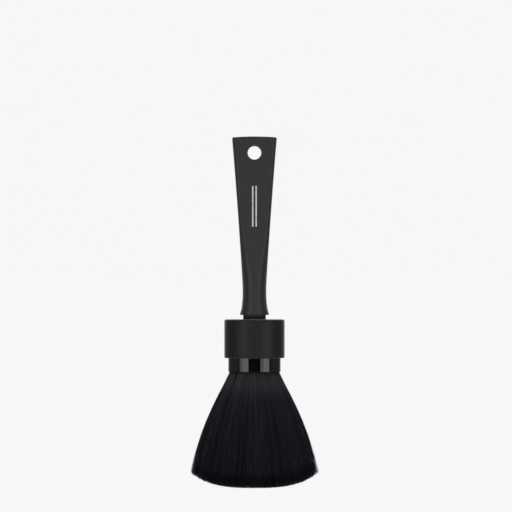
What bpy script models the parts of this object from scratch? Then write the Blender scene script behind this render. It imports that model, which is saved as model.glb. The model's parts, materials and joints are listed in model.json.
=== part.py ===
"""Neck duster brush: a flat paddle handle, an oval collar, a ferrule and a fan of soft bristles.

The brush hangs bristles down from the hole in its handle. The origin is the centre of that hole,
+Z runs up the handle, the front faces -Y, and every size is in metres.
"""

import math

import bmesh
import bpy

MM = 0.001
GAP = 0.3 * MM  # clearance between pieces that touch on the real brush
CORNER_STEPS = 7  # segments in each of an oval ring's four corners
FLAT_STEPS = 6  # segments along the handle's flat front and back

# Heights, measured from the centre of the hang hole
HANDLE_TOP = 10.6 * MM
PADDLE_END = -45.0 * MM
NECK = -88.0 * MM
FOOT = -105.3 * MM
COLLAR_TOP = -108.2 * MM
COLLAR_BOTTOM = -133.3 * MM
LIP = -142.4 * MM
BRISTLE_END = -217.5 * MM

# Handle
HOLE_RADIUS = 4.4 * MM
HOLE_BEVEL = 0.6 * MM
HOLE_SIDES = 40
TOP_HALF_WIDTH = 14.6 * MM
TOP_ARCH = 0.6 * MM
TOP_ROUNDING = 0.9 * MM
PADDLE_HALF_DEPTH = 3.75 * MM
PADDLE_CORNER = 2.2 * MM
TAPER_POWER = 1.15
NECK_HALF_WIDTH = 7.7 * MM
NECK_HALF_DEPTH = 5.4 * MM
NECK_ROUND_END = 0.86  # how much of the neck's half width is taken up by its curved end
FOOT_HALF_WIDTH = 9.5 * MM
FOOT_HALF_DEPTH = 6.0 * MM
FOOT_ROUNDING = 0.5 * MM
FLARE_POWER = 3.0
TANG_HALF_WIDTH = 7.4 * MM
TANG_HALF_DEPTH = 4.0 * MM
TANG_END = -122.0 * MM
TANG_CHAMFER = 1.0 * MM

# Collar and ferrule
COLLAR_HALF_WIDTH = 19.6 * MM
COLLAR_HALF_DEPTH = 10.6 * MM
COLLAR_TOP_WALL = 2.8 * MM
COLLAR_TOP_ROUNDING = 1.2 * MM
COLLAR_RIM_ROUNDING = 0.8 * MM
FERRULE_HALF_WIDTH = 17.0 * MM
FERRULE_HALF_DEPTH = 8.5 * MM
FERRULE_WALL = 1.0 * MM
FERRULE_ROUNDING = 0.4 * MM
ROUND_END = 0.9  # how much of an oval's half width is taken up by its curved end
ROUND_FACE = 0.94  # and how much of its half depth

# What is hidden inside the ferrule
GLUE_DEPTH = 15.0 * MM
BINDING_TOP = 1.8 * MM  # below the glue bed
BINDING_TURNS = 3
BINDING_CORD = 1.2 * MM
BINDING_DIP = 0.55  # how far the outside dips between two turns, as a share of the cord's depth
GROOVE_DEPTH = 1.1 * MM
PLUG_HALF_WIDTH = 7.0 * MM
PLUG_HALF_DEPTH = 1.8 * MM
PLUG_END = 3.0 * MM  # above the lip

# Fan of bristles
FAN_HALF_WIDTH = 41.6 * MM
FAN_LENGTH = 65.0 * MM  # lip to the outermost tips
FAN_BOW = 0.12
FAN_BULGE = 1.8 * MM
FAN_BULGE_TURN = 0.8 * math.pi  # puts the thickest place five eighths of the way to the outermost tips
TRIM_POWER = 2.9
BASE_RADIUS = 11.3 * MM
TUFT_RADIUS = 12.0 * MM
TUFT_GAP = 0.4 * MM
TUFT_COLUMNS = 5
EDGE_TUFT_START = 0.7
TIP_ROUNDING = 1.3 * MM
TUFT_STATIONS = (0.0, 0.12, 0.26, 0.42, 0.58, 0.74, 0.88, 0.97)  # shares of a tuft's length
DOME_SHARE = 0.5  # size of the ring that closes a tuft's domed top
BASE_STATIONS = (0.35, 0.7, 1.0)  # shares of the way from the lip to the base's rounded underside
UNDERSIDE_SHARES = (0.75, 0.5, 0.25)  # sizes of the rings that close the underside


# ---------------------------------------------------------------- helpers
def material(name, colour, roughness):
    """One sub-part's plain finish; none of them is metal."""
    made = bpy.data.materials.new(name)
    made.use_nodes = True
    shader = made.node_tree.nodes["Principled BSDF"]
    shader.inputs["Base Color"].default_value = (*colour, 1.0)
    shader.inputs["Roughness"].default_value = roughness
    shader.inputs["Metallic"].default_value = 0.0
    made.diffuse_color = (*colour, 1.0)
    return made


def oval(half_width, half_depth, end_width, end_depth, height, flat_steps=1):
    """One ring: a rectangle whose four corners are quarter ellipses of end_width by end_depth.

    flat_steps divides the straight runs along the front and the back.
    """
    points = []
    flat = half_width - end_width
    corners = ((1, 1), (-1, 1), (-1, -1), (1, -1))
    for index, (side, face) in enumerate(corners):
        for step in range(CORNER_STEPS + 1):
            angle = math.pi / 2 * (index + step / CORNER_STEPS)
            x = side * flat + end_width * math.cos(angle)
            y = face * (half_depth - end_depth) + end_depth * math.sin(angle)
            points.append((x, y, height))
        if side == face:
            for step in range(1, flat_steps):
                points.append((side * flat * (1 - 2 * step / flat_steps), face * half_depth, height))
    return points


def sleeve_ring(half_width, half_depth, height, inset=0.0, flat_steps=1):
    """A ring of the family that the collar, the ferrule and all that is inside them share."""
    wide = half_width - inset
    deep = half_depth - inset
    return oval(wide, deep, ROUND_END * wide, ROUND_FACE * deep, height, flat_steps)


def rounding(radius, steps=3):
    """(inset, drop) pairs that turn a flat end into a rounded one."""
    pairs = []
    for step in range(steps + 1):
        angle = math.pi / 2 * step / steps
        pairs.append((radius * (1 - math.sin(angle)), radius * (1 - math.cos(angle))))
    return pairs


def loft(name, rings, finish, closed=False, crease=35):
    """A solid through a list of rings: capped at both ends, or closed on itself like a tube's wall."""
    shape = bmesh.new()
    loops = [[shape.verts.new(point) for point in ring] for ring in rings]
    pairs = list(zip(loops, loops[1:]))
    if closed:
        pairs.append((loops[-1], loops[0]))
    count = len(loops[0])
    for first, second in pairs:
        for index in range(count):
            after = (index + 1) % count
            shape.faces.new((first[index], first[after], second[after], second[index]))
    if not closed:
        shape.faces.new(loops[0])
        shape.faces.new(loops[-1])
    bmesh.ops.remove_doubles(shape, verts=shape.verts, dist=1e-6)
    bmesh.ops.recalc_face_normals(shape, faces=shape.faces)
    mesh = bpy.data.meshes.new(name)
    shape.to_mesh(mesh)
    shape.free()
    mesh.shade_smooth()
    mesh.set_sharp_from_angle(angle=math.radians(crease))
    made = bpy.data.objects.new(name, mesh)
    made.data.materials.append(finish)
    bpy.context.scene.collection.objects.link(made)
    return made


def smooth(value):
    """0 to 1 with a soft start and a soft end."""
    held = min(max(value, 0.0), 1.0)
    return held * held * (3 - 2 * held)


def mix(first, second, share):
    return first + (second - first) * share


# ---------------------------------------------------------------- handle
def handle_ring(height, inset=0.0, drop=0.0):
    """The handle's outline at a height: flat and wide at the paddle, rounder at the neck."""
    if height > NECK:
        rise = (height - NECK) / (HANDLE_TOP - NECK)
        half_width = mix(NECK_HALF_WIDTH, TOP_HALF_WIDTH, rise**TAPER_POWER)
        turn = smooth((PADDLE_END - height) / (PADDLE_END - NECK))
        half_depth = mix(PADDLE_HALF_DEPTH, NECK_HALF_DEPTH, turn)
    else:
        flare = ((NECK - height) / (NECK - FOOT)) ** FLARE_POWER
        half_width = mix(NECK_HALF_WIDTH, FOOT_HALF_WIDTH, flare)
        half_depth = mix(NECK_HALF_DEPTH, FOOT_HALF_DEPTH, flare)
        turn = 1.0
    end_width = mix(PADDLE_CORNER, NECK_ROUND_END * half_width, turn) - inset
    end_depth = mix(PADDLE_CORNER, half_depth, turn) - inset
    arch = TOP_ARCH * max(height, 0.0) / HANDLE_TOP
    size = (half_width - inset, half_depth - inset, end_width, end_depth)
    ring = oval(*size, height - drop, FLAT_STEPS)
    return [(x, y, z - arch * (x / half_width) ** 2) for x, y, z in ring]


def hole_cutter():
    """A round bar along Y that opens at both ends, so that the hole gets bevelled rims."""
    reach = PADDLE_HALF_DEPTH + MM
    straight = PADDLE_HALF_DEPTH - HOLE_BEVEL
    turns = [2 * math.pi * index / HOLE_SIDES for index in range(HOLE_SIDES)]
    rings = []
    for y, radius in (
        (-reach, HOLE_RADIUS + reach - straight),
        (-straight, HOLE_RADIUS),
        (straight, HOLE_RADIUS),
        (reach, HOLE_RADIUS + reach - straight),
    ):
        rings.append([(radius * math.cos(turn), y, radius * math.sin(turn)) for turn in turns])
    cutter = loft("hang_hole_cutter", rings, material("cutter", (0.8, 0.1, 0.1), 0.5))
    cutter.hide_render = True
    cutter.display_type = "WIRE"
    return cutter


def make_handle():
    rings = [handle_ring(HANDLE_TOP, inset, drop) for inset, drop in rounding(TOP_ROUNDING)]
    paddle_rings = 12
    neck_rings = 8
    flare_rings = 6
    top = HANDLE_TOP - 2 * TOP_ROUNDING
    for index in range(paddle_rings):
        rings.append(handle_ring(mix(top, PADDLE_END, index / paddle_rings)))
    for index in range(neck_rings):
        rings.append(handle_ring(mix(PADDLE_END, NECK, index / neck_rings)))
    for index in range(flare_rings):
        rings.append(handle_ring(mix(NECK, FOOT + FOOT_ROUNDING, index / flare_rings)))
    for inset, drop in reversed(rounding(FOOT_ROUNDING, 2)):
        rings.append(handle_ring(FOOT, inset, -drop))
    for height, inset in ((FOOT, 0.0), (TANG_END + TANG_CHAMFER, 0.0), (TANG_END, TANG_CHAMFER)):
        rings.append(sleeve_ring(TANG_HALF_WIDTH, TANG_HALF_DEPTH, height, inset, FLAT_STEPS))
    handle = loft("handle", rings, material("satin_black", (0.028, 0.028, 0.03), 0.42))
    cut = handle.modifiers.new("hang hole", "BOOLEAN")
    cut.operation = "DIFFERENCE"
    cut.object = hole_cutter()


# ---------------------------------------------------------------- collar, ferrule, inside
def make_collar():
    size = (COLLAR_HALF_WIDTH, COLLAR_HALF_DEPTH)
    bore = (FERRULE_HALF_WIDTH + GAP, FERRULE_HALF_DEPTH + GAP)
    socket = (TANG_HALF_WIDTH + GAP, TANG_HALF_DEPTH + GAP)
    ceiling = COLLAR_TOP - COLLAR_TOP_WALL
    rings = [
        sleeve_ring(*size, COLLAR_TOP - drop, inset) for inset, drop in rounding(COLLAR_TOP_ROUNDING)
    ]
    for inset, drop in reversed(rounding(COLLAR_RIM_ROUNDING)):
        rings.append(sleeve_ring(*size, COLLAR_BOTTOM + drop, inset))
    rings.append(sleeve_ring(*bore, COLLAR_BOTTOM))
    rings.append(sleeve_ring(*bore, ceiling))
    rings.append(sleeve_ring(*socket, ceiling))
    rings.append(sleeve_ring(*socket, COLLAR_TOP))
    loft("collar", rings, material("matte_black", (0.022, 0.022, 0.023), 0.55), closed=True)


def make_ferrule():
    size = (FERRULE_HALF_WIDTH, FERRULE_HALF_DEPTH)
    inside = (size[0] - FERRULE_WALL, size[1] - FERRULE_WALL)
    top = COLLAR_TOP - COLLAR_TOP_WALL - GAP
    rings = [sleeve_ring(*size, top)]
    for inset, drop in reversed(rounding(FERRULE_ROUNDING)):
        rings.append(sleeve_ring(*size, LIP + drop, inset))
    rings.append(sleeve_ring(*inside, LIP))
    rings.append(sleeve_ring(*inside, top))
    loft("ferrule", rings, material("gloss_black", (0.006, 0.006, 0.008), 0.08), closed=True)


def packed_size():
    """Half width and half depth of what fills the ferrule."""
    taken = FERRULE_WALL + GAP
    return FERRULE_HALF_WIDTH - taken, FERRULE_HALF_DEPTH - taken


def glue_top():
    return COLLAR_TOP - COLLAR_TOP_WALL - 2 * GAP


def make_glue_bed():
    pocket = (TANG_HALF_WIDTH + GAP, TANG_HALF_DEPTH + GAP)
    rings = [
        sleeve_ring(*pocket, TANG_END - GAP),
        sleeve_ring(*pocket, glue_top()),
        sleeve_ring(*packed_size(), glue_top()),
        sleeve_ring(*packed_size(), glue_top() - GLUE_DEPTH),
    ]
    loft("glue_bed", rings, material("cured_glue", (0.36, 0.26, 0.12), 0.3))


def root_top():
    return glue_top() - GLUE_DEPTH - GAP


def make_root_binding():
    """Turns of cord round the roots, side by side, as one ring with a scalloped outside."""
    wide, deep = packed_size()
    groove = GROOVE_DEPTH - GAP
    start = root_top() - BINDING_TOP - GAP
    rings = []
    steps = 4
    for turn in range(BINDING_TURNS):
        for step in range(steps):
            share = (step + 0.5) / steps
            height = start - BINDING_CORD * (turn + share)
            bulge = math.sin(math.pi * share)
            rings.append(sleeve_ring(wide, deep, height, mix(BINDING_DIP * groove, 0.0, bulge)))
    rings.append(sleeve_ring(wide, deep, rings[-1][0][2], groove))
    rings.append(sleeve_ring(wide, deep, rings[0][0][2], groove))
    loft("root_binding", rings, material("waxed_cord", (0.5, 0.47, 0.4), 0.8), closed=True)


def make_spacer_plug():
    size = (PLUG_HALF_WIDTH, PLUG_HALF_DEPTH)
    edge = 0.5 * MM
    rings = [
        sleeve_ring(*size, root_top(), edge),
        sleeve_ring(*size, root_top() - edge),
        sleeve_ring(*size, LIP + PLUG_END + edge),
        sleeve_ring(*size, LIP + PLUG_END, edge),
    ]
    loft("spacer_plug", rings, material("plug_plastic", (0.55, 0.54, 0.5), 0.6))


# ---------------------------------------------------------------- bristles
def fan_half_width(depth):
    """Half width of the fan at a depth below the ferrule's lip: almost straight, bowed outwards."""
    share = depth / FAN_LENGTH
    spread = share + FAN_BOW * math.sin(math.pi * share)
    return mix(packed_size()[0], FAN_HALF_WIDTH, spread)


def fan_half_depth(depth):
    return packed_size()[1] + FAN_BULGE * math.sin(FAN_BULGE_TURN * depth / FAN_LENGTH)


def half_depth_at(across, depth):
    """How far the fan reaches to the front and back, at a place across it from -1 to 1."""
    past = max(abs(across) - (1 - ROUND_END), 0.0) / ROUND_END
    return fan_half_depth(depth) * math.sqrt(max(1 - past * past, 0.0))


def trimmed_length(across):
    """The tips are trimmed to a shallow arc, longest in the middle."""
    longest = LIP - BRISTLE_END
    return mix(longest, FAN_LENGTH, abs(across) ** TRIM_POWER)


def make_bristle_base():
    """The packed roots in the ferrule and the stiff first length of the bristles below its lip."""
    wide, deep = packed_size()
    plug = (PLUG_HALF_WIDTH + GAP, PLUG_HALF_DEPTH + GAP)
    groove_top = root_top() - BINDING_TOP
    groove_end = groove_top - BINDING_TURNS * BINDING_CORD - 2 * GAP
    rings = [
        sleeve_ring(*plug, LIP + PLUG_END - GAP),
        sleeve_ring(*plug, root_top()),
        sleeve_ring(wide, deep, root_top()),
        sleeve_ring(wide, deep, groove_top),
        sleeve_ring(wide, deep, groove_top, GROOVE_DEPTH),
        sleeve_ring(wide, deep, groove_end, GROOVE_DEPTH),
        sleeve_ring(wide, deep, groove_end),
        sleeve_ring(wide, deep, LIP),
    ]
    for share in BASE_STATIONS:
        ring = []
        for x, y, _ in sleeve_ring(1.0, 1.0, 0.0):
            depth = share * math.sqrt(BASE_RADIUS**2 - (y * fan_half_depth(BASE_RADIUS)) ** 2)
            ring.append((x * fan_half_width(depth), y * fan_half_depth(depth), LIP - depth))
        rings.append(ring)
    rim = rings[-1]
    for share in UNDERSIDE_SHARES:
        ring = [(x * share, y * share) for x, y, _ in rim]
        rings.append([(x, y, LIP - math.sqrt(BASE_RADIUS**2 - y * y)) for x, y in ring])
    loft("bristle_base", rings, material("bristle_black", (0.012, 0.012, 0.015), 0.6))


def tuft_outline(low, high, back, front):
    """Places round one tuft, each how far across the fan and what share of the fan's depth there."""
    steps = 4
    half_way = (back + front) / 2
    row = [mix(low, high, step / steps) for step in range(steps + 1)]
    outline = [(across, back) for across in row] + [(high, half_way)]
    return outline + [(across, front) for across in reversed(row)] + [(low, half_way)]


def tuft_ring(outline, middle, share, inset=0.0):
    """One ring of a tuft, measured from the hinge, at a share of the way from its top to its tips."""
    half_gap = TUFT_GAP / 2
    ring = []
    for across, row in outline:
        top_y = row * half_depth_at(across, TUFT_RADIUS)
        top = math.sqrt(TUFT_RADIUS**2 - top_y**2)
        depth = mix(top, trimmed_length(across), share)
        x = across * fan_half_width(depth)
        y = row * half_depth_at(across, depth)
        centre_x = middle[0] * fan_half_width(depth)
        centre_y = middle[1] * half_depth_at(middle[0], depth)
        keep = half_gap + inset
        x += math.copysign(min(keep, abs(x - centre_x)), centre_x - x)
        y += math.copysign(min(keep, abs(y - centre_y)), centre_y - y)
        ring.append((x, y, -depth))
    return ring


def dome_ring(ring, share):
    """A top ring drawn in towards its centre, kept on the cylinder that turns about the hinge."""
    centre_x = sum(point[0] for point in ring) / len(ring)
    centre_y = sum(point[1] for point in ring) / len(ring)
    drawn = []
    for x, y, _ in ring:
        moved_y = mix(centre_y, y, share)
        drawn.append((mix(centre_x, x, share), moved_y, -math.sqrt(TUFT_RADIUS**2 - moved_y**2)))
    return drawn


def make_tuft(name, outline, middle, hinge, finish):
    rings = [tuft_ring(outline, middle, share) for share in TUFT_STATIONS]
    rings.insert(0, dome_ring(rings[0], DOME_SHARE))
    rings.append(tuft_ring(outline, middle, 1.0, TIP_ROUNDING))
    tuft = loft(name, rings, finish)
    tuft.parent = hinge


def edge_outline(side):
    """The tuft at one edge of the fan: round the fan's end, then straight back to the front."""
    steps = 8
    flat_rows = (0.6, 0.2, -0.2, -0.6)
    limit = math.acos((EDGE_TUFT_START - (1 - ROUND_END)) / ROUND_END)
    outline = []
    for step in range(steps + 1):
        angle = limit * (2 * step / steps - 1)
        across = (1 - ROUND_END) + ROUND_END * math.cos(angle)
        outline.append((side * across, math.copysign(1.0, angle)))
    return outline + [(side * EDGE_TUFT_START, row) for row in flat_rows]


def make_tufts():
    hinge = bpy.data.objects.new("bristle_hinge", None)
    hinge.location = (0.0, 0.0, LIP)
    bpy.context.scene.collection.objects.link(hinge)
    finish = material("bristle_fibre", (0.012, 0.012, 0.015), 0.6)
    third = 1 / 3
    rows = (("front", -1.0, -third), ("middle", -third, third), ("back", third, 1.0))
    width = 2 * EDGE_TUFT_START / TUFT_COLUMNS
    for column in range(TUFT_COLUMNS):
        low = column * width - EDGE_TUFT_START
        for row, front, back in rows:
            outline = tuft_outline(low, low + width, back, front)
            middle = (low + width / 2, (front + back) / 2)
            make_tuft(f"tuft_{row}_{column + 1}", outline, middle, hinge, finish)
    edge_middle = (1 + EDGE_TUFT_START) / 2
    for name, side in (("tuft_left", -1), ("tuft_right", 1)):
        make_tuft(name, edge_outline(side), (side * edge_middle, 0.0), hinge, finish)


def main():
    for old in list(bpy.data.objects):
        bpy.data.objects.remove(old)
    make_handle()
    make_collar()
    make_ferrule()
    make_glue_bed()
    make_root_binding()
    make_spacer_plug()
    make_bristle_base()
    make_tufts()


main()
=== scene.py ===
# %% [markdown]
# # A neck duster brush
# A barber flicks cut hair off a client's neck with this brush. It has a flat plastic handle with a hang
# hole, an oval collar, a glossy ferrule and a soft fan of black bristles. The design is already packed
# as solids with a sprung joint for the bristles. This lesson keeps that design as a frame that never
# moves, and builds the surfaces that are seen around it. The first step loads the frame and notes its
# size.

# %% Load the frame
import json
import math

import bmesh
import bpy
import numpy as np
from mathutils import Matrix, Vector
from mathutils.bvhtree import BVHTree


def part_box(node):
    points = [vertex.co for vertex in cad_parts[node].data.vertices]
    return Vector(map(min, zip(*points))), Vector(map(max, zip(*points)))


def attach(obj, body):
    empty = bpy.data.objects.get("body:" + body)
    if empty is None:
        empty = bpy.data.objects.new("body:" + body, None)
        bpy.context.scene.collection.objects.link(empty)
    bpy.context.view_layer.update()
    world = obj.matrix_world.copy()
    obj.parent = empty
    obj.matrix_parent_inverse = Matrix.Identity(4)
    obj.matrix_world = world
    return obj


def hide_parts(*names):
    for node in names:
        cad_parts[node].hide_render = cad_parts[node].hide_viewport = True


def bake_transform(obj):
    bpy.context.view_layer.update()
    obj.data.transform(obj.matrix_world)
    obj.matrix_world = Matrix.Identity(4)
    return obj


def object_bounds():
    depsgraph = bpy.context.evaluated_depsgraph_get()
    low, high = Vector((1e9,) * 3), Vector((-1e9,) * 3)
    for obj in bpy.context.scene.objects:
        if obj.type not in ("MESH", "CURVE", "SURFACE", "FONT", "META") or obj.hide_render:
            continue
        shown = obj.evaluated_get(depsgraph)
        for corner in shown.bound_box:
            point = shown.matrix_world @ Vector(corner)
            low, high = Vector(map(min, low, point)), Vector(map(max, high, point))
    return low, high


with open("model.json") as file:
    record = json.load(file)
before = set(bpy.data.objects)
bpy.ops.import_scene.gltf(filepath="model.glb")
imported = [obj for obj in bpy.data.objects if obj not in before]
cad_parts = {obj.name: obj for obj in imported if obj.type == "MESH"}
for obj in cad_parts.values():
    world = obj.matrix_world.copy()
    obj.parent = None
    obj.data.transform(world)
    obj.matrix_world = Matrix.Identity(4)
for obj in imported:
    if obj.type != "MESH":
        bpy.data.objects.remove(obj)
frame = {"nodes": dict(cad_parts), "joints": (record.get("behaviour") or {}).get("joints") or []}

MM = 0.001
cad_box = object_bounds()
cad_size = cad_box[1] - cad_box[0]
print("CAD size in mm:", [round(side / MM, 1) for side in cad_size])

# %% [markdown]
# ## Sizes come from the solids
# A new surface has to lie where its solid lies. Copying numbers by hand goes wrong as soon as the design
# changes, so the sizes are measured here instead. A ray is shot at a solid from outside, and where it
# lands is the half width or half depth at that height.


# %% Measure a solid with rays
trees = {}


def land(node, start, direction):
    """Where a straight line from start first meets a CAD node."""
    if node not in trees:
        mesh = frame["nodes"][node].data
        corners = [vertex.co for vertex in mesh.vertices]
        trees[node] = BVHTree.FromPolygons(corners, [face.vertices for face in mesh.polygons])
    return trees[node].ray_cast(Vector(start), Vector(direction))[0]


def half_width(node, height):
    return land(node, (1, 0, height), (-1, 0, 0)).x


def half_depth(node, height):
    return land(node, (0, 1, height), (0, -1, 0)).y


LIP = frame["joints"][0]["pos_m"][2]
HANDLE_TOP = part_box("handle")[1].z
COLLAR_BOTTOM, COLLAR_TOP = (corner.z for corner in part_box("collar"))
FERRULE_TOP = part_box("ferrule")[1].z
HOLE_RADIUS = land("handle", (0, 0, 0), (1, 0, 0)).x
print("hang hole, mm across:", round(2 * HOLE_RADIUS / MM, 2))
print("ferrule lip, mm below the hole:", round(-LIP / MM, 1))

# %% [markdown]
# ## Camera
# The brush is looked at straight from the front. A short lens close by would make the nearer bristles
# look bigger than the collar. A long lens from almost two metres away keeps perspective out of the
# outline. The view is a third of a metre tall, so the brush fills about two thirds of it, low down.

# %% Camera
VIEW_HEIGHT = 0.3328
VIEW_CENTRE = (0.001, 0.0, -0.067)
LENS, SENSOR = 200.0, 36.0

camera_data = bpy.data.cameras.new("camera")
camera_data.lens = LENS
camera_data.sensor_width = SENSOR
camera = bpy.data.objects.new("camera", camera_data)
camera_distance = VIEW_HEIGHT * LENS / SENSOR
camera.location = Vector(VIEW_CENTRE) - Vector((0, camera_distance, 0))
camera.rotation_euler = (math.pi / 2, 0, 0)
bpy.context.scene.collection.objects.link(camera)
bpy.context.scene.camera = camera
print("camera distance, m:", round(camera_distance, 3))

# %% [markdown]
# ## Softboxes
# Black plastic shows almost nothing of its own: it is drawn by what it reflects. Two tall softboxes to
# the left and right of the camera give the ferrule its two upright stripes and leave a dark gap between
# them. A real softbox isn't even, so each one is made of three strips of its own brightness, and the
# stripes fade a little from one side to the other. A third light from above lifts the top faces.

# %% Softboxes
AIM = Vector((0, 0, -0.1))


def add_softbox(name, azimuth, distance, width, height, brightness, lift=0.0):
    """A rectangular light; azimuth 0 is where the camera is, brightness is what a mirror would show."""
    data = bpy.data.lights.new(name, "AREA")
    data.shape = "RECTANGLE"
    data.size, data.size_y = width, height
    data.energy = brightness * math.pi * width * height
    light = bpy.data.objects.new(name, data)
    turn = math.radians(azimuth)
    light.location = AIM + Vector((distance * math.sin(turn), -distance * math.cos(turn), lift))
    light.rotation_euler = (AIM - light.location).to_track_quat("-Z", "Y").to_euler()
    light.visible_camera = False
    bpy.context.scene.collection.objects.link(light)


KEY_AZIMUTH, KEY_DISTANCE, KEY_HEIGHT = 22.2, 1.05, 1.1
STRIP_WIDTH, STRIP_TURN = 0.16, 8.71
KEY_STRIPS = {-1: (1.5, 2.5, 2.5), 1: (1.7, 2.75, 2.5)}
for side, strips in KEY_STRIPS.items():
    for place, brightness in enumerate(strips):
        azimuth = side * KEY_AZIMUTH + (place - 1) * STRIP_TURN
        add_softbox(f"key_{azimuth:.0f}", azimuth, KEY_DISTANCE, STRIP_WIDTH, KEY_HEIGHT, brightness)
add_softbox("top", azimuth=0, distance=0.25, width=0.7, height=0.7, brightness=1.0, lift=1.1)

# %% [markdown]
# ## Floor
# The brush hangs in the air from its hole, so the pale floor lies far below it. It glows a little by
# itself, which makes it as pale as the background at the horizon, and it is hidden from reflections, so
# that only the softboxes and the sky draw the brush.

# %% Floor
FLOOR_HEIGHT = -2.2
bpy.ops.object.select_all(action="DESELECT")
bpy.ops.mesh.primitive_plane_add(size=400, location=(0, 0, FLOOR_HEIGHT))
floor = bpy.context.object
floor.name = "floor"
floor.visible_glossy = False
floor.visible_diffuse = False

floor_paint = bpy.data.materials.new("floor_paint")
floor_paint.use_nodes = True
floor_shader = floor_paint.node_tree.nodes["Principled BSDF"]
floor_shader.inputs["Base Color"].default_value = (0.3, 0.3, 0.3, 1)
floor_shader.inputs["Roughness"].default_value = 0.9
floor_shader.inputs["Specular IOR Level"].default_value = 0.0
floor_shader.inputs["Emission Color"].default_value = (1, 1, 1, 1)
floor_shader.inputs["Emission Strength"].default_value = 0.81
floor.data.materials.append(floor_paint)
print("floor height, m:", FLOOR_HEIGHT)

# %% [markdown]
# ## Sky
# The room round the brush could be modelled with walls. A sky that changes with direction is simpler: it
# is dark behind the camera and grows pale towards the back, so flat faces stay black and rounded
# sides get lighter towards their edges. What the camera itself sees of the sky is one even, pale tone.

# %% Sky
SKY_SEEN = (0.93, 0.93, 0.93, 1)
SKY_FRONT, SKY_SIDE, SKY_BACK = (0.04, 0.04, 0.045, 1), (0.29, 0.29, 0.31, 1), (0.95, 0.95, 1.0, 1)
sky = bpy.data.worlds.new("studio")
bpy.context.scene.world = sky
sky.use_nodes = True
sky_nodes, sky_links = sky.node_tree.nodes, sky.node_tree.links
direction = sky_nodes.new("ShaderNodeTexCoord")
split = sky_nodes.new("ShaderNodeSeparateXYZ")
ramp = sky_nodes.new("ShaderNodeValToRGB")
ramp.color_ramp.interpolation = "EASE"
stops = ramp.color_ramp.elements
stops[0].position, stops[0].color = 0.05, SKY_FRONT
stops[1].position, stops[1].color = 0.16, SKY_SIDE
for position, colour in ((0.55, SKY_SIDE), (0.95, SKY_BACK)):
    stops.new(position).color = colour
to_share = sky_nodes.new("ShaderNodeMapRange")
to_share.inputs["From Min"].default_value = -1
seen = sky_nodes.new("ShaderNodeLightPath")
choose = sky_nodes.new("ShaderNodeMix")
choose.data_type = "RGBA"
choose.inputs[7].default_value = SKY_SEEN
sky_links.new(direction.outputs["Generated"], split.inputs[0])
sky_links.new(split.outputs["Y"], to_share.inputs["Value"])
sky_links.new(to_share.outputs[0], ramp.inputs["Fac"])
sky_links.new(ramp.outputs["Color"], choose.inputs[6])
sky_links.new(seen.outputs["Is Camera Ray"], choose.inputs[0])
sky_links.new(choose.outputs[2], sky_nodes["Background"].inputs["Color"])
bpy.context.scene.view_settings.view_transform = "Standard"
print("sky tones:", len(stops))

# %% [markdown]
# ## Writing shaders as sums
# A procedural finish is mostly arithmetic on noise. Wiring Math nodes by hand hides that arithmetic, so
# one small class wraps a node's output and turns + - * / into nodes. An expression such as 1 - mask then
# builds its own Math node.


# %% Shader arithmetic
class Wire:
    """A node's output that can be used in a sum."""

    def __init__(self, finish, socket):
        self.finish = finish
        self.socket = socket

    def join(self, operation, first, second=0.0):
        return self.finish.node("Math", {"operation": operation}, {0: first, 1: second})

    def __add__(self, other):
        return self.join("ADD", self, other)

    __radd__ = __add__

    def __sub__(self, other):
        return self.join("SUBTRACT", self, other)

    def __rsub__(self, other):
        return self.join("SUBTRACT", other, self)

    def __mul__(self, other):
        return self.join("MULTIPLY", self, other)

    __rmul__ = __mul__

    def __truediv__(self, other):
        return self.join("DIVIDE", self, other)

    def __pow__(self, other):
        return self.join("POWER", self, other)

    def __abs__(self):
        return self.join("ABSOLUTE", self)

    def ramp(self, low, high):
        """0 below low, 1 above high and smooth between them."""
        settings = {"interpolation_type": "SMOOTHSTEP"}
        sockets = {"Value": self, "From Min": low, "From Max": high}
        return self.finish.node("MapRange", settings, sockets)


print("sums become nodes")

# %% [markdown]
# ## A material under construction
# The second class holds a material. Its `node` method adds any node with its settings and the values or
# wires of its sockets, and the other methods are the few steps that every finish here repeats. Numbers
# that are the same all over go straight on the shader's own sockets.


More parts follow.
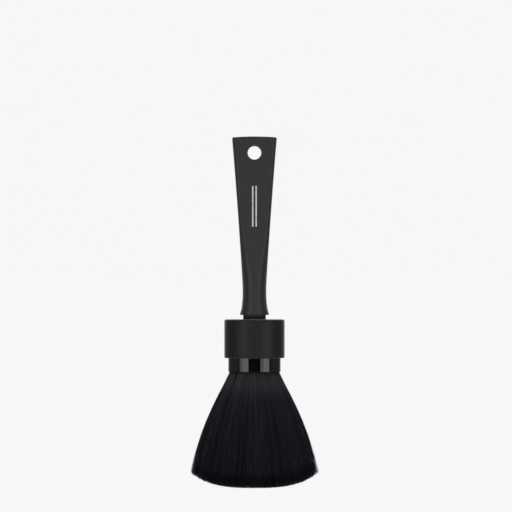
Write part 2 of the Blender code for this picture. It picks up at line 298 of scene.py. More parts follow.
# %% Finishes
class Finish:
    """A material under construction."""

    def __init__(self, name, **fixed):
        self.material = bpy.data.materials.new(name)
        self.material.use_nodes = True
        self.tree = self.material.node_tree
        self.shader = self.tree.nodes["Principled BSDF"]
        for socket, value in fixed.items():
            label = socket.replace("_", " ").title().replace("Ior", "IOR")
            self.shader.inputs[label].default_value = value

    def node(self, kind, settings=None, sockets=None, output=0):
        made = self.tree.nodes.new("ShaderNode" + kind)
        for key, value in (settings or {}).items():
            setattr(made, key, value)
        for key, value in (sockets or {}).items():
            self.feed(made.inputs[key], value)
        return Wire(self, made.outputs[output])

    def feed(self, socket, value):
        if isinstance(value, Wire):
            self.tree.links.new(value.socket, socket)
        else:
            socket.default_value = value

    def here(self):
        """The point on the surface, in metres."""
        return self.node("TexCoord", output="Object")

    def place(self):
        """The same point as three wires, x, y and z."""
        split = self.node("SeparateXYZ", sockets={0: self.here()})
        return (Wire(self, socket) for socket in split.socket.node.outputs)

    def noise(self, size, detail=2.0, where=None):
        """Noise from 0 to 1 whose lumps are about size metres across."""
        sockets = {"Vector": where or self.here(), "Scale": 1 / size, "Detail": detail}
        return self.node("TexNoise", None, sockets)

    def streaks(self, squeeze, size):
        """Noise drawn out along the axes that squeeze makes small."""
        stretched = self.node("Mapping", None, {"Vector": self.here(), "Scale": squeeze})
        return self.noise(size, 2, stretched)

    def blend(self, share, first, second):
        sockets = {0: share, 6: first, 7: second}
        return self.node("Mix", {"data_type": "RGBA"}, sockets, output=2)

    def bump(self, height, strength, distance):
        """Feed the shader's normal with a relief that is distance metres deep."""
        sockets = {"Height": height, "Strength": strength, "Distance": distance}
        self.feed(self.shader.inputs["Normal"], self.node("Bump", None, sockets))

    def paint(self, colour=None, roughness=None):
        if colour is not None:
            self.feed(self.shader.inputs["Base Color"], colour)
        if roughness is not None:
            self.feed(self.shader.inputs["Roughness"], roughness)


def grey(value, blue=1.0):
    return (value, value, value * blue, 1.0)


print("a grey:", grey(0.5))

# %% [markdown]
# ## Picking in code
# By hand, faces and edges are picked with a click. In a script they are picked by where they are: a test
# is run on each one, and those that pass it are selected for the next operator.


# %% New pieces and picking
def new_piece(name):
    """An empty mesh, open in edit mode."""
    bpy.ops.object.select_all(action="DESELECT")
    bpy.ops.mesh.primitive_plane_add(size=1)
    piece = bpy.context.object
    piece.name = piece.data.name = name
    bpy.ops.object.mode_set(mode="EDIT")
    bpy.ops.mesh.delete(type="VERT")
    return piece


def shape():
    return bmesh.from_edit_mesh(bpy.context.object.data)


def pick(kind, test):
    """Select the vertices, edges or faces that pass the test."""
    bpy.ops.mesh.select_all(action="DESELECT")
    bpy.ops.mesh.select_mode(type=kind)
    mesh = shape()
    items = {"VERT": mesh.verts, "EDGE": mesh.edges, "FACE": mesh.faces}[kind]
    chosen = [item for item in items if test(item)]
    for item in chosen:
        item.select_set(True)
    bmesh.update_edit_mesh(bpy.context.object.data)
    return len(chosen)


def flat_at(height, within=1e-6):
    """A test for faces and edges that lie level at a height."""
    return lambda item: all(abs(vertex.co.z - height) < within for vertex in item.verts)


print("helpers: new_piece, shape, pick, flat_at")

# %% [markdown]
# ## Outlines
# Every part of this brush but its bristles is a stack of oval outlines. An oval could come from a
# squashed circle, but then its corners couldn't stay tight on the flat paddle. So an outline starts as a
# plane, its corners are rounded with a vertex bevel, and only its edges are kept. Bridging a stack of
# such loops gives a wall of clean quads, with rows of them along the flat sides too.

# %% Outlines and walls
FLAT_CUTS = 7
ROUND_END, ROUND_FACE = 0.9, 0.94
SLEEVE_CUTS = 20
NEARLY_ALL = 0.9999
HAIR = 0.02 * MM


def outline(wide, deep, end_wide, end_deep, height, cuts=10):
    """Draw one oval loop of edges: a plane with rounded corners and points along its flat sides."""
    centre = (0, 0, height)
    stretch = end_wide / end_deep
    bpy.ops.mesh.primitive_plane_add(size=2, location=centre)
    bpy.ops.transform.resize(value=(wide, deep * stretch, 1), center_override=centre)
    bpy.ops.mesh.bevel(offset=NEARLY_ALL * end_wide, segments=cuts, affect="VERTICES")
    bpy.ops.transform.resize(value=(1, 1 / stretch, 1), center_override=centre)
    bpy.ops.mesh.delete(type="ONLY_FACE")
    flat_half = 0.9 * (wide - end_wide)
    level = flat_at(height)

    def flat_side(edge):
        first, last = (vertex.co.x for vertex in edge.verts)
        return level(edge) and abs(first + last) < 1e-7 and abs(first) > flat_half

    pick("EDGE", lambda edge: flat_side(edge) and edge.calc_length() > 2 * flat_half)
    bpy.ops.mesh.subdivide(number_cuts=FLAT_CUTS)


def sleeve_outline(wide, deep, height):
    """The oval that the collar, the ferrule and the bristle bundle share."""
    outline(wide, deep, ROUND_END * wide, ROUND_FACE * deep, height, cuts=SLEEVE_CUTS)


def bridge_all():
    """Join a stack of loops into a wall, and merge the hair-short edges where two corners meet."""
    bpy.ops.mesh.select_mode(type="EDGE")
    bpy.ops.mesh.select_all(action="SELECT")
    bpy.ops.mesh.bridge_edge_loops()
    bpy.ops.mesh.remove_doubles(threshold=HAIR)


print("points round an outline:", 4 * (SLEEVE_CUTS + 1) + 2 * FLAT_CUTS)

# %% [markdown]
# ## Ends, rims and steps
# A wall becomes a part when its ends are closed, its rims are softened and its ends step in or out. A
# step could be an inset, but the inset operator throws long spikes where an outline has very short
# edges. An extrusion by nothing, followed by a resize, makes the same step safely.

# %% Ends, rims and steps
SHARP = math.radians(60)


def close_end(height):
    """Fill the open loop at a height."""
    pick("EDGE", lambda edge: edge.is_boundary and flat_at(height)(edge))
    bpy.ops.mesh.edge_face_add()


def soften_edge(height, width, segments=5):
    """Round off the sharp rim between a level end face and the wall."""
    level = flat_at(height)
    pick("EDGE", lambda edge: level(edge) and edge.calc_face_angle(0) > SHARP)
    bpy.ops.mesh.bevel(offset=width, segments=segments, affect="EDGES")


def step_in(wide, deep, height):
    """Grow a smaller face out of the level face at a height: an extrusion by nothing, then a resize."""
    pick("FACE", flat_at(height))
    bpy.ops.mesh.extrude_region_move(TRANSFORM_OT_translate={"value": (0, 0, 0)})
    chosen = [vertex.co for vertex in shape().verts if vertex.select]
    scale = (wide / max(point.x for point in chosen), deep / max(point.y for point in chosen), 1)
    bpy.ops.transform.resize(value=scale, center_override=(0, 0, height))


def sink(distance):
    """Extrude the selected face up or down."""
    bpy.ops.mesh.extrude_region_move(TRANSFORM_OT_translate={"value": (0, 0, distance)})


def open_through(wide, deep):
    """Bridge the two end faces that are no bigger than this, so that the piece becomes a tube."""
    def small(vertex):
        return abs(vertex.co.x) < wide + HAIR / 2 and abs(vertex.co.y) < deep + HAIR / 2

    ends = pick("FACE", lambda face: len(face.verts) > 4 and all(small(v) for v in face.verts))
    print("end faces bridged:", ends)
    bpy.ops.mesh.bridge_edge_loops()


print("rims are edges sharper than, degrees:", round(math.degrees(SHARP)))

# %% [markdown]
# ## Finishing a piece
# Smooth shading makes quads look like one curved surface, and edges sharper than a crease angle stay
# crisp. Weighted normals then let the big flat faces decide how the soft rims beside them shade. A
# finished piece is dressed: it gets its material, and the solids it stands for are hidden.

# %% Finishing a piece
CREASE = math.radians(35)


def leave_edit(piece):
    """Back to object mode, with outward faces and smooth shading that keeps flats flat."""
    bpy.ops.mesh.select_all(action="SELECT")
    bpy.ops.mesh.normals_make_consistent(inside=False)
    bpy.ops.object.mode_set(mode="OBJECT")
    bpy.ops.object.shade_smooth_by_angle(angle=CREASE)
    even = piece.modifiers.new("even normals", "WEIGHTED_NORMAL")
    even.keep_sharp = True
    bpy.ops.object.modifier_apply(modifier=even.name)


def dress(piece, finish, slot, *nodes):
    """Give a finished piece its material and hide the solids it stands for; the slot is not used."""
    piece.data.materials.clear()
    piece.data.materials.append(finish)
    if nodes:
        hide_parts(*nodes)
    print(piece.name, "faces:", len(piece.data.polygons))


def mix(first, second, share):
    return first + (second - first) * share


def smooth(value):
    """0 to 1 with a soft start and a soft end, for a number or an array."""
    held = np.clip(value, 0, 1)
    return held * held * (3 - 2 * held)


print("half way between 2 and 4:", mix(2, 4, smooth(0.5)))

# %% [markdown]
# ## Handle
# The real handle is one moulding: a flat paddle that tapers to a rounder neck, flares to a foot and ends
# in a narrow tang. It could be box modelled with a subdivision surface, but the taper is too long and even
# for that. A stack of outlines follows it better: the corners stay tight on the paddle and open into a
# half oval at the neck, and each outline takes its size from the solid.

# %% Handle outlines
PADDLE_CORNER = 2.2 * MM
NECK_ROUND_END = 0.86
PADDLE_END, NECK, FOOT = -45 * MM, -88 * MM, -105.3 * MM
BELOW_HOLE = -2.5 * HOLE_RADIUS
ARCH = 0.6 * MM
TRUE_SIDE = 7 * MM
FOOT_RIM = 0.6 * MM
PADDLE_ROWS, TAPER_ROWS, NECK_ROWS = 14, 15, 12


def side_width(height):
    """Half width of the sides, carried on straight past the rounded top corners."""
    height -= ARCH * max(height, 0) / HANDLE_TOP
    straight = min(height, TRUE_SIDE)
    slope = half_width("handle", TRUE_SIDE) - half_width("handle", TRUE_SIDE - MM)
    return half_width("handle", straight) + slope * (height - straight) / MM


handle = new_piece("handle_moulding")
heights = list(np.linspace(HANDLE_TOP, PADDLE_END, PADDLE_ROWS))
heights += list(np.linspace(PADDLE_END, NECK, TAPER_ROWS)[1:])
heights += list(np.linspace(NECK, FOOT + FOOT_RIM, NECK_ROWS)[1:])
for height in heights + [FOOT]:
    within = max(height, FOOT + FOOT_RIM)
    wide = side_width(within)
    deep = half_depth("handle", min(within, BELOW_HOLE))
    turn = smooth((PADDLE_END - height) / (PADDLE_END - NECK))
    end_wide = mix(PADDLE_CORNER, NECK_ROUND_END * wide, turn)
    end_deep = mix(PADDLE_CORNER, 0.999 * deep, turn)
    outline(wide, deep, end_wide, end_deep, height)
bridge_all()
close_end(HANDLE_TOP)
close_end(FOOT)
print("handle outlines:", len(heights) + 1)

# %% [markdown]
# The foot is the widest part of the neck. Below it the moulding steps in to a waist, which shows as a
# dark recess above the collar, partly from its own shadow and partly from painted shade in the handle's
# finish, and runs on as the tang inside it. That is one step and one extrusion of the end face. The top
# edge is arched, so the corners are lowered after the ends are softened, and the top face is first cut
# across, so that it can bend.

# %% Foot, tang and arched top
soften_edge(HANDLE_TOP, width=0.9 * MM)
soften_edge(FOOT, width=0.5 * MM, segments=3)
TANG_WIDE = half_width("handle", COLLAR_TOP - MM)
TANG_DEEP = half_depth("handle", COLLAR_TOP - MM)
TANG_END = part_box("handle")[0].z
step_in(TANG_WIDE, TANG_DEEP, FOOT)
sink(TANG_END - FOOT)
soften_edge(TANG_END, width=MM, segments=2)


def on_top(vertex):
    return abs(vertex.co.z - HANDLE_TOP) < 1e-6


for across in sorted({round(vertex.co.x, 7) for vertex in shape().verts if on_top(vertex)}):
    if pick("VERT", lambda v: on_top(v) and abs(v.co.x - across) < 1e-6) == 2:
        bpy.ops.mesh.vert_connect()
top_width = side_width(HANDLE_TOP)
for vertex in shape().verts:
    if vertex.co.z > 0:
        vertex.co.z -= ARCH * vertex.co.z / HANDLE_TOP * (vertex.co.x / top_width) ** 2
bmesh.update_edit_mesh(handle.data)
leave_edit(handle)
print("handle top now at, mm:", round(max(v.co.z for v in handle.data.vertices) / MM, 2))

# %% [markdown]
# The hang hole is cut with a Boolean. A plain round cutter would leave two knife edges, so the cutter is
# a bobbin: it opens out at both ends along a quarter circle, in six small extrusions.

# %% Bobbin for the hang hole
RIM = 0.7 * MM
RIM_STEPS = 6
PAST_FACE = 1.0 * MM
paddle_deep = half_depth("handle", BELOW_HOLE)
straight = paddle_deep - RIM


def push_out(distance):
    bpy.ops.mesh.extrude_region_move(TRANSFORM_OT_translate={"value": (0, distance, 0)})


def quarter(step):
    """How far out and how wide the bobbin is after a number of steps."""
    turn = math.pi / 2 * step / RIM_STEPS
    return RIM * math.sin(turn), HOLE_RADIUS + RIM * (1 - math.cos(turn))


bpy.ops.object.select_all(action="DESELECT")
upright = (math.pi / 2, 0, 0)
bpy.ops.mesh.primitive_cylinder_add(vertices=64, radius=HOLE_RADIUS, depth=2 * straight, rotation=upright)
cutter = bpy.context.object
bpy.ops.object.transform_apply(location=False, rotation=True, scale=True)
bpy.ops.object.mode_set(mode="EDIT")
for side in (-1, 1):
    pick("FACE", lambda face: abs(face.calc_center_median().y - side * straight) < 1e-7)
    for step in range(RIM_STEPS):
        (reach, radius), (next_reach, next_radius) = quarter(step), quarter(step + 1)
        push_out(side * (next_reach - reach))
        grow = next_radius / radius
        bpy.ops.transform.resize(value=(grow, 1, grow), center_override=(0, 0, 0))
    push_out(side * PAST_FACE)
bpy.ops.mesh.select_all(action="SELECT")
bpy.ops.mesh.normals_make_consistent(inside=False)
bpy.ops.object.mode_set(mode="OBJECT")
print("bobbin faces:", len(cutter.data.polygons))

# %% [markdown]
# The cutter is applied and thrown away. The Boolean leaves long faces round the hole, but they lie flat
# in the paddle's face, where they can't be seen, and the weighted normals keep them even.

# %% Hang hole
bpy.ops.object.select_all(action="DESELECT")
handle.select_set(True)
bpy.context.view_layer.objects.active = handle
cut = handle.modifiers.new("hang hole", "BOOLEAN")
cut.operation = "DIFFERENCE"
cut.object = cutter
bpy.ops.object.modifier_apply(modifier=cut.name)
bpy.data.objects.remove(cutter)
bpy.ops.object.mode_set(mode="EDIT")
leave_edit(handle)
print("handle faces with the hole:", len(handle.data.polygons))


# %% [markdown]
# ## Handle finish
# Satin black plastic from a spark-eroded mould: a very fine grain, a gloss that drifts a little where
# hands have polished it, and a hairline seam down each side where the mould's halves met. A single
# colour would look like a toy, so each of these is a mask of noise. The rim of the hole and the top
# edges wear first, so they are a touch lighter.


# %% Satin black plastic
SHEEN = {"sheen_weight": 0.4, "sheen_roughness": 0.45}


def satin_wear(finish, x, y, z):
    """Where the hole's rim and the top edges have been rubbed."""
    from_axis = (x * x + z * z) ** 0.5
    rim = 1 - abs(from_axis - (HOLE_RADIUS + 0.4 * MM)).ramp(0.1 * MM, 1.1 * MM)
    top = z.ramp(HANDLE_TOP - 2.6 * MM, HANDLE_TOP - 0.4 * MM)
    top = top * abs(y).ramp(0.55 * paddle_deep, 0.95 * paddle_deep)
    return (rim + top * 0.7) * finish.noise(1.6 * MM, 3).ramp(0.42, 0.62)


def satin_plastic():
    finish = Finish("satin_black_plastic", specular_ior_level=0.315, **SHEEN)
    x, y, z = finish.place()
    cloud = finish.noise(14 * MM, 3)
    grain = finish.noise(0.3 * MM, 2)
    handling = finish.noise(24 * MM, 3).ramp(0.42, 0.68)
    colour = finish.blend(cloud, grey(0.0105, 1.1), grey(0.0185, 1.08))
    colour = finish.blend(satin_wear(finish, x, y, z) * 0.5, colour, grey(0.055))
    # Below the foot, on the waist and tang, the colour is darkened as painted shade for the recess above
    # the collar; the same mask also makes it rougher.
    painted_shade_below_foot = 1 - z.ramp(FOOT - 0.6 * MM, FOOT - 0.1 * MM)
    colour = finish.blend(painted_shade_below_foot, colour, grey(0.0036, 1.6))
    roughness = 0.42 + (cloud - 0.5) * 0.16 - handling * 0.09 + (grain - 0.5) * 0.2 + painted_shade_below_foot * 0.35
    seam = 1 - abs(y).ramp(0.05 * MM, 0.16 * MM)
    scratch = finish.streaks((0.06, 1, 1), 0.35 * MM).ramp(0.66, 0.74)
    scratch = scratch * finish.noise(7 * MM, 1).ramp(0.5, 0.65)
    finish.paint(colour, roughness - scratch * 0.1)
    finish.bump(grain + seam * 0.8 - scratch * 0.3, 0.7, 0.08 * MM)
    return finish.material


dress(handle, satin_plastic(), "satin_black_plastic", "handle")
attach(handle, "brush_body")

# %% [markdown]
# ## Collar
# The collar is a hollow oval cup, upside down, with a socket in its top for the tang. A Boolean could
# hollow it, but steps keep every face a quad: a closed block is made of outlines, a step and an
# extrusion sink the hollow, and bridging the two facing end faces opens the socket right through.

# %% Collar housing
collar_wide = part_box("collar")[1].x
collar_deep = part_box("collar")[1].y
ferrule_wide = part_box("ferrule")[1].x
ferrule_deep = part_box("ferrule")[1].y
FIT = 0.3 * MM
WALL_OVER = 2.8 * MM


def tube(name, wide, deep, bottom, top):
    """A closed oval block between two heights, with rows of quads so that it shades evenly."""
    rows = 5
    piece = new_piece(name)
    for height in np.linspace(top, bottom, rows):
        sleeve_outline(wide, deep, height)
    bridge_all()
    close_end(top)
    close_end(bottom)
    return piece


collar = tube("collar_housing", collar_wide, collar_deep, COLLAR_BOTTOM, COLLAR_TOP)
soften_edge(COLLAR_TOP, width=1.2 * MM)
soften_edge(COLLAR_BOTTOM, width=0.8 * MM)
step_in(ferrule_wide + FIT, ferrule_deep + FIT, COLLAR_BOTTOM)
ceiling = COLLAR_TOP - WALL_OVER
sink(ceiling - COLLAR_BOTTOM)
socket = (TANG_WIDE + FIT, TANG_DEEP + FIT)
step_in(*socket, ceiling)
step_in(*socket, COLLAR_TOP)
open_through(*socket)
leave_edit(collar)
print("collar, mm tall:", round((COLLAR_TOP - COLLAR_BOTTOM) / MM, 1))


# %% [markdown]
# ## Collar finish
# The collar is duller than the handle: a matte texture that spreads the softboxes into a wide glow at
# its sides. Its edges have been knocked about in a drawer, so they carry small pale nicks. The nicks'
# mask is a band at each rim, cut down to the outer part of the oval so that the flat top stays clean.


# %% Matte black plastic
def collar_nicks(finish):
    x, y, z = finish.place()
    top_edge = 1 - abs(z - (COLLAR_TOP - 0.3 * MM)).ramp(0.2 * MM, 0.9 * MM)
    bottom_edge = 1 - abs(z - (COLLAR_BOTTOM + 0.2 * MM)).ramp(0.1 * MM, 0.6 * MM)
    oval = (x * x) / collar_wide**2 + (y * y) / collar_deep**2
    return (top_edge + bottom_edge) * oval.ramp(0.72, 0.9) * finish.noise(1.3 * MM, 3).ramp(0.5, 0.68)


def matte_plastic():
    finish = Finish("matte_black_plastic", specular_ior_level=0.205, **SHEEN)
    cloud = finish.noise(9 * MM, 3)
    grain = finish.noise(0.3 * MM, 3)
    colour = finish.blend(cloud, grey(0.0035, 1.1), grey(0.0055, 1.1))
    colour = finish.blend(collar_nicks(finish) * 0.45, colour, grey(0.06))
    roughness = 0.38 + (cloud - 0.5) * 0.1 + (grain - 0.5) * 0.16
    finish.paint(colour, roughness)
    finish.bump(grain, 0.6, 0.09 * MM)
    return finish.material


dress(collar, matte_plastic(), "matte_black_plastic", "collar")
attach(collar, "brush_body")

# %% [markdown]
# ## Ferrule
# The ferrule is a sleeve that grips the bristles, and its gloss shows every dent. So its wall is made
# like the collar's, of the same fine outlines, with a small rounded lip where the bristles come out.

# %% Ferrule sleeve
LIP_WALL = 1.0 * MM
ferrule = tube("ferrule_sleeve", ferrule_wide, ferrule_deep, LIP, FERRULE_TOP)
soften_edge(LIP, width=0.4 * MM, segments=4)
inside = (ferrule_wide - LIP_WALL, ferrule_deep - LIP_WALL)
step_in(*inside, LIP)
step_in(*inside, FERRULE_TOP)
open_through(*inside)
leave_edit(ferrule)
print("ferrule, mm below the collar:", round((COLLAR_BOTTOM - LIP) / MM, 1))


# %% [markdown]
# ## Ferrule finish
# A mirror gloss on black shows little but the two softboxes. Real moulded gloss is never perfect: it has
# a faint haze, and fine upright rub marks from being wiped. A low roughness with small noise on it
# softens the edges of the stripes, and a very shallow bump makes them waver.


# %% Gloss black plastic
def gloss_plastic():
    finish = Finish("gloss_black_plastic", specular_ior_level=0.5)
    haze = finish.noise(6 * MM, 3)
    rub = finish.streaks((1, 1, 0.05), 0.7 * MM)
    colour = finish.blend(haze, grey(0.0015, 1.4), grey(0.0025, 1.4))
    roughness = 0.04 + haze.ramp(0.45, 0.8) * 0.05 + rub.ramp(0.6, 0.8) * 0.04
    finish.paint(colour, roughness)
    finish.bump(finish.noise(6 * MM, 1) * 2 + rub * 0.25, 0.3, 0.03 * MM)
    return finish.material


dress(ferrule, gloss_plastic(), "gloss_black_plastic", "ferrule")
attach(ferrule, "brush_body")

# %% [markdown]
# ## Printed pinstripe
# The handle carries a printed mark. Here that is a plain pair of white pinstripes. They could be a mask
# in the handle's finish, but a mask blurs up close, so they are two thin tabs of ink: each is a plane
# with rounded ends, given a hair's thickness on the front face. The ink is a little rubbed in places.

# %% Pinstripes
INK = 0.04 * MM
STRIPE_TOP, STRIPE_BOTTOM = -21.5 * MM, -51.0 * MM
STRIPE_HALF_WIDTH = 0.42 * MM
STRIPE_GAP = 1.1 * MM
stripes = new_piece("printed_pinstripes")
stripe_middle = (STRIPE_TOP + STRIPE_BOTTOM) / 2
for side in (-1, 1):
    spot = (side * STRIPE_GAP, -paddle_deep - INK, stripe_middle)
    bpy.ops.mesh.primitive_plane_add(size=2, location=spot, rotation=(math.pi / 2, 0, 0))
    reach = (STRIPE_HALF_WIDTH, 1, (STRIPE_TOP - STRIPE_BOTTOM) / 2)
    bpy.ops.transform.resize(value=reach, center_override=spot)
    bpy.ops.mesh.bevel(offset=0.99 * STRIPE_HALF_WIDTH, segments=6, affect="VERTICES")
    bpy.ops.mesh.extrude_region_move(TRANSFORM_OT_translate={"value": (0, 0.9 * INK, 0)})
    bpy.ops.mesh.select_all(action="DESELECT")
leave_edit(stripes)


def white_ink():
    finish = Finish("white_ink", specular_ior_level=0.4)
    speckle = finish.noise(0.35 * MM, 3)
    rubbed = finish.noise(4 * MM, 3).ramp(0.55, 0.75)
    worn = rubbed * speckle.ramp(0.4, 0.6)
    finish.paint(finish.blend(worn * 0.7, grey(0.72), grey(0.2)), 0.5 + speckle * 0.2)
    return finish.material


dress(stripes, white_ink(), None)
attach(stripes, "brush_body")


# %% [markdown]
# ## What is inside the ferrule
# The tang, the ferrule and the bristle roots are held in a bed of cured glue, the roots are bound with
# waxed cord, and a flat plug opens the bundle into a fan. These are simple, hidden shapes whose solids are
# already right, so they stay and only get a finish: cloudy amber resin, a slanting twist for the
# cord, and pale plastic.


# %% Finishes of the hidden parts
def cured_resin():
    finish = Finish("cured_resin", specular_ior_level=0.5)
    cloud = finish.noise(3 * MM, 4)
    bubbles = finish.noise(0.5 * MM, 2).ramp(0.62, 0.7)
    colour = finish.blend(cloud, (0.3, 0.19, 0.07, 1), (0.45, 0.34, 0.17, 1))
    finish.paint(finish.blend(bubbles * 0.5, colour, (0.62, 0.54, 0.38, 1)), 0.18 + cloud * 0.2)
    finish.bump(cloud + bubbles * 0.3, 0.3, 0.1 * MM)
    return finish.material


def waxed_cord():
    finish = Finish("waxed_cord", specular_ior_level=0.35)
    x, y, z = finish.place()
    turns = (x + y + z * 1.7) * (2 * math.pi / (0.9 * MM))
    twist = finish.node("Math", {"operation": "SINE"}, {0: turns})
    fibre = finish.noise(0.15 * MM, 3)
    # The twist's grooves are painted darker and its crests lighter, as painted shade, added to the fibres'
    # own tone; the same sum makes the bump.
    twist_shade_and_fibre_tone = twist * 0.35 + 0.5 + (fibre - 0.5) * 0.3
    finish.paint(finish.blend(twist_shade_and_fibre_tone, (0.3, 0.27, 0.21, 1), (0.6, 0.56, 0.47, 1)), 0.6 + fibre * 0.25)
    finish.bump(twist_shade_and_fibre_tone, 0.6, 0.15 * MM)
    return finish.material


def plug_plastic():
    finish = Finish("plug_plastic", specular_ior_level=0.45)
    cloud = finish.noise(4 * MM, 3)
    grain = finish.noise(0.3 * MM, 2)
    finish.paint(finish.blend(cloud, grey(0.45, 0.93), grey(0.58, 0.92)), 0.5 + grain * 0.15)
    finish.bump(grain, 0.3, 0.05 * MM)
    return finish.material


inner_finishes = {"glue_bed": cured_resin, "root_binding": waxed_cord, "spacer_plug": plug_plastic}
for node, make in inner_finishes.items():
    hidden = frame["nodes"][node]
    hidden.data.materials.clear()
    hidden.data.materials.append(make())
    print("finished", node)

# %% [markdown]
# ## Packed roots
# Above the lip the bristles are packed so tightly that they are one block, with a groove for the binding
# and a pocket for the plug. It is a tube like the ferrule, closed at the bottom, and the loose
# bristles start at its lower end.

# %% Packed roots
base_low, base_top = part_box("bristle_base")
root_wide, root_deep = inside[0] - FIT, inside[1] - FIT
binding_low, binding_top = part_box("root_binding")
plug_low, plug_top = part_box("spacer_plug")
ROOT_END = LIP + 0.6 * MM
GROOVE = 1.1 * MM
roots = new_piece("packed_roots")
groove_top, groove_low = binding_top.z + FIT, binding_low.z - FIT
STEP = 0.01 * MM
levels = [
    (base_top.z, 0), (groove_top, 0), (groove_top - STEP, GROOVE), (groove_low + STEP, GROOVE),
    (groove_low, 0), (ROOT_END, 0),
]
for height, cut_in in levels:
    sleeve_outline(root_wide - cut_in, root_deep - cut_in, height)
bridge_all()
close_end(base_top.z)
close_end(ROOT_END)
step_in(plug_top.x + FIT, plug_top.y + FIT, base_top.z)
sink(plug_low.z - FIT - base_top.z)
leave_edit(roots)
print("packed roots, mm tall:", round((base_top.z - ROOT_END) / MM, 1))

# %% [markdown]
# ## Bristles
# The fan is what the brush is for, and it is thousands of loose filaments, not a block. One filament is
# modelled by hand: a three-sided cone, cut into short lengths so that it can bend. Three sides are
# enough, because a filament is thinner than a fifth of a millimetre and smooth shading rounds it.

# %% One filament
LENGTHS = 8
bpy.ops.object.select_all(action="DESELECT")
bpy.ops.mesh.primitive_cone_add(vertices=3, radius1=1, radius2=1, depth=1, location=(0, 0, 0.5))
filament = bpy.context.object
bpy.ops.object.transform_apply(location=True, rotation=False, scale=False)
bpy.ops.object.mode_set(mode="EDIT")
pick("EDGE", lambda edge: abs(edge.verts[0].co.z - edge.verts[1].co.z) > 0.5)
bpy.ops.mesh.subdivide(number_cuts=LENGTHS - 1)
bpy.ops.object.mode_set(mode="OBJECT")
pattern = np.array([vertex.co for vertex in filament.data.vertices])
pattern_faces = [list(face.vertices) for face in filament.data.polygons]
bpy.data.objects.remove(filament)
print("one filament:", len(pattern), "points,", len(pattern_faces), "faces")

# %% [markdown]
# ## Shape of the fan
# Every filament keeps its place in the fan as the fan widens, so one formula for the fan's width and one
# for its depth place them all. The sides are almost straight and bowed outwards a little, and the bundle
# swells quickly as it leaves the lip, where nothing squeezes it any more. In this cell and the next ones,
# depth is the distance below the lip.

# %% Shape of the fan
FAN_BOW = 0.12
FAN_LENGTH = 65 * MM
FAN_BULGE = 1.2 * MM
LIP_FLARE, LIP_FLARE_LENGTH = 1.2 * MM, 1.5 * MM
TIP_HALF_WIDTH = 41.4 * MM
longest = LIP - cad_box[0].z


def fan_width(depth):
    share = depth / FAN_LENGTH
    return root_wide + (TIP_HALF_WIDTH - root_wide) * (share + FAN_BOW * np.sin(np.pi * share))


def fan_depth(depth):
    flare = 1 - np.exp(-depth / LIP_FLARE_LENGTH)
    return root_deep + LIP_FLARE * flare + FAN_BULGE * np.sin(np.pi / 2 * depth / longest)


def oval_limit(across):
    """How deep the oval is at a place across it, as a share."""
    past = np.clip(np.abs(across) - (1 - ROUND_END), 0, None) / ROUND_END
    return np.sqrt(np.clip(1 - past**2, 0, None))


print("fan half way down, half width in mm:", round(float(fan_width(FAN_LENGTH / 2)) / MM, 1))

# %% [markdown]
# ## Places in the bundle
# Random places would leave holes and clumps. Even steps by an irrational number, the plane's own golden
# ratio, fill the oval evenly at any count. Soft bristles cling together in locks, so the same
# scatter, begun elsewhere, gives the locks' centres, and each strand belongs to the nearest one.

# %% Scatter and locks
STRANDS, LOCKS = 15000, 620
LOCK_OFFSET = 5000
PLANE_RATIO = 1.32471795724
BATCH = 1000


def scatter(count, offset):
    """Points spread evenly over the oval, from -1 to 1 both ways."""
    index = np.arange(int(count * 1.4)) + offset
    across = 2 * ((0.5 + index / PLANE_RATIO) % 1) - 1
    along = 2 * ((0.5 + index / PLANE_RATIO**2) % 1) - 1
    within = np.abs(along) <= oval_limit(across)
    return np.stack([across[within], along[within]], 1)[:count]


def nearest_lock(points, centres):
    """Which lock each strand belongs to, worked out for one batch of strands at a time."""
    size = np.array([TIP_HALF_WIDTH, root_deep + LIP_FLARE + FAN_BULGE])
    found = np.empty(len(points), int)
    for first in range(0, len(points), BATCH):
        gap = (points[first:first + BATCH, None] - centres[None]) * size
        found[first:first + BATCH] = (gap**2).sum(2).argmin(1)
    return found


start = scatter(STRANDS, 0)
locks = scatter(LOCKS, LOCK_OFFSET)
nearest = nearest_lock(start, locks)
print("strands:", len(start), "strands in a lock:", round(len(start) / len(locks)))

# %% [markdown]
# ## Lengths
# The real bristles are trimmed to a shallow arc, longest in the middle of the fan and a little longer
# inside than at the front and back. No trim is perfect, so lengths vary slightly and one in twenty is
# short. Each filament is a row of stations, from just inside the lip to its tip.

# %% Lengths
TRIM_POWER = 2.9
TIP_DOME = 1.0 * MM
LENGTH_SPREAD = 0.2 * MM
SHORT_SHARE, SHORT_LENGTHS = 0.05, (0.93, 0.99)
random = np.random.default_rng(7)
level = np.linspace(0, 1, LENGTHS + 1)
row_share = start[:, 1] / np.maximum(oval_limit(start[:, 0]), 1e-6)
length = longest + (FAN_LENGTH - longest) * np.abs(start[:, 0]) ** TRIM_POWER
length = length - TIP_DOME * row_share**2 + random.normal(0, LENGTH_SPREAD, STRANDS)
short = random.random(STRANDS) < SHORT_SHARE
length[short] *= random.uniform(*SHORT_LENGTHS, short.sum())
top = ROOT_END - LIP + 0.3 * MM
depth = -top + (length[:, None] + top) * level
print("longest filament, mm:", round(float(length.max() / MM), 1))

# %% [markdown]
# ## Paths
# Perfectly straight bristles would look like a comb. Each strand is drawn towards its lock, leans its
# own way and with its lock, and waves slightly, and all of that grows from nothing at the root to the
# most at the tip. A few strays lean three times as far.

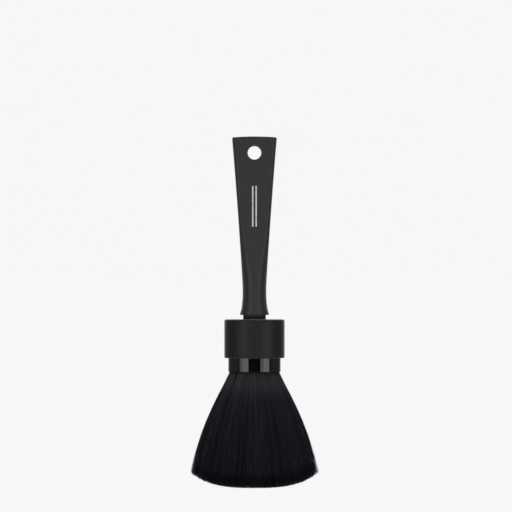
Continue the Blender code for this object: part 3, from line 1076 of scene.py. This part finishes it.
# %% Paths of all filaments
LOCK_PULL, PULL_POWER = 0.25, 1.4
STRAND_LEAN, LOCK_LEAN = 0.42 * MM, 0.3 * MM
STRAY_SHARE, STRAY_LEAN = 0.02, 3.0
WAVE, WAVE_TURNS = 0.12 * MM, 1.3
pull = LOCK_PULL * random.uniform(0.5, 1.2, LOCKS)[nearest]
gather = pull[:, None] * level**PULL_POWER
place = start[:, None] + gather[..., None] * (locks[nearest] - start)[:, None]
stray = np.where(random.random(STRANDS) < STRAY_SHARE, STRAY_LEAN, 1.0)
lean = random.normal(0, STRAND_LEAN, (STRANDS, 2)) * stray[:, None]
lock_lean = random.normal(0, LOCK_LEAN, (LOCKS, 2))[nearest]
along = level[None, :, None]
sway = (lean + lock_lean)[:, None] * along**2
wave = WAVE * np.sin(2 * np.pi * (random.random((STRANDS, 1, 2)) + WAVE_TURNS * along)) * along
below_lip = np.clip(depth, 0, None)
centre_x = place[..., 0] * fan_width(below_lip) + sway[..., 0] + wave[..., 0]
centre_y = place[..., 1] * fan_depth(below_lip) + sway[..., 1] + wave[..., 1]
print("widest tip, mm from the middle:", round(float(np.abs(centre_x).max() / MM), 1))

# %% [markdown]
# ## One mesh for a tuft
# The filaments are grouped into the same tufts as the solids, so each tuft stands for its own solid. Their
# meshes are filled with arrays rather than operators: fifteen thousand joins by hand would take hours.
# Each strand stores its own tone, so that neighbours differ. Near the root every strand differs from the
# next, and towards the tips whole locks do, which shows as fine streaks.

# %% Tufts of filaments
THICK = 0.17 * MM
TAPER_AT, TAPER = (0, 0.6, 0.85, 1), (1, 0.94, 0.78, 0.42)
LOCK_TONE_AT_ROOT, LOCK_TONE_AT_TIP = 0.15, 0.55
lock_share = mix(LOCK_TONE_AT_ROOT, LOCK_TONE_AT_TIP, smooth(level / 0.6))
own_tone, lock_tone = random.random(STRANDS), random.random(LOCKS)[nearest]
tone = own_tone[:, None] * (1 - lock_share) + lock_tone[:, None] * lock_share
ring_turn = random.uniform(0, 2 * np.pi, STRANDS)
station = np.rint(pattern[:, 2] * LENGTHS).astype(int)
angle = np.arctan2(pattern[:, 1], pattern[:, 0])
radius = THICK / 2 * np.interp(level, TAPER_AT, TAPER)[station]


def tuft_points(chosen):
    turn = ring_turn[chosen][:, None] + angle
    x = centre_x[chosen][:, station] + radius * np.cos(turn)
    y = centre_y[chosen][:, station] + radius * np.sin(turn)
    z = LIP - depth[chosen][:, station]
    return np.stack([x, y, z], 2).reshape(-1, 3).tolist()


def tuft_faces(count):
    """The filament's faces, turned outwards and counted on for every further strand."""
    faces = []
    for corners in (3, 4):
        same = np.array([face[::-1] for face in pattern_faces if len(face) == corners])
        step = (np.arange(count) * len(pattern))[:, None, None]
        faces += (same[None] + step).reshape(-1, corners).tolist()
    return faces


def tuft_mesh(name, chosen):
    """One mesh that holds a copy of the filament for every chosen strand."""
    mesh = bpy.data.meshes.new(name)
    mesh.from_pydata(tuft_points(chosen), [], tuft_faces(len(chosen)))
    mesh.shade_smooth()
    stored = {"tone": tone[chosen][:, station].ravel(), "along": np.tile(level[station], len(chosen))}
    for label, values in stored.items():
        attribute = mesh.attributes.new(label, "FLOAT", "POINT")
        attribute.data.foreach_set("value", values.astype(np.float32))
    tuft = bpy.data.objects.new(name, mesh)
    bpy.context.scene.collection.objects.link(tuft)
    return tuft


print("filament thickness, mm:", THICK / MM)

# %% [markdown]
# ## Bristle finish
# Black nylon isn't even: dyed fibres differ, and their gloss has a cold tint. The tone that each strand
# stores drives its colour and its roughness, so pale strands also shine more. Near the ferrule the
# strands are painted lighter, a painted highlight that also lifts the shade under the lip, and towards
# the tips they are painted darker, a painted shade, and get duller.


# %% Black nylon
def bristle_nylon():
    finish = Finish("bristle_nylon", specular_ior_level=0.4, specular_tint=(0.8, 0.85, 1, 1))
    own = finish.node("Attribute", {"attribute_name": "tone"}, output="Fac")
    along = finish.node("Attribute", {"attribute_name": "along"}, output="Fac")
    # Near the root the colour is lifted towards a pale grey: a painted highlight that fills the shade
    # under the ferrule's lip.
    root_painted_light = 1 - along.ramp(0.0, 0.3)
    colour = finish.blend(own ** 2.4, grey(0.0004, 2.0), grey(0.023, 1.6))
    colour = finish.blend(root_painted_light * own, colour, (0.09, 0.087, 0.092, 1))
    # Darker towards the tips: painted shade.
    colour = finish.blend(along.ramp(0.25, 0.65) * 0.35, colour, grey(0.0004, 2.0))
    finish.paint(colour, 0.26 + (1 - own) * 0.26 + along * 0.12)
    return finish.material


nylon = bristle_nylon()
dress(roots, nylon, "black_bristle", "bristle_base")
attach(roots, "brush_body")

# %% [markdown]
# ## Tufts in place
# The solids swing about one hinge on the lip, but real filaments bend along their whole length. Here the
# strands are sorted into the same columns and rows as the solids, and each tuft is made as one mesh in
# its solid's place, with the solid hidden.

# %% Tufts in place
EDGE_START = 0.7
COLUMNS = 5
ROWS = ("front", "middle", "back")
across = start[:, 0]
column = np.floor((across + EDGE_START) / (2 * EDGE_START / COLUMNS)).astype(int) + 1
row = np.digitize(row_share, [-1 / 3, 1 / 3])


def place_tuft(name, wanted, node):
    tuft = tuft_mesh(name, np.flatnonzero(wanted))
    dress(tuft, nylon, "black_bristle", node)
    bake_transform(tuft)


place_tuft("bristles_left", across < -EDGE_START, "tuft_left")
place_tuft("bristles_right", across >= EDGE_START, "tuft_right")
for number in range(1, COLUMNS + 1):
    for index, row_name in enumerate(ROWS):
        wanted = (np.abs(across) < EDGE_START) & (column == number) & (row == index)
        place_tuft(f"bristles_{row_name}_{number}", wanted, f"tuft_{row_name}_{number}")
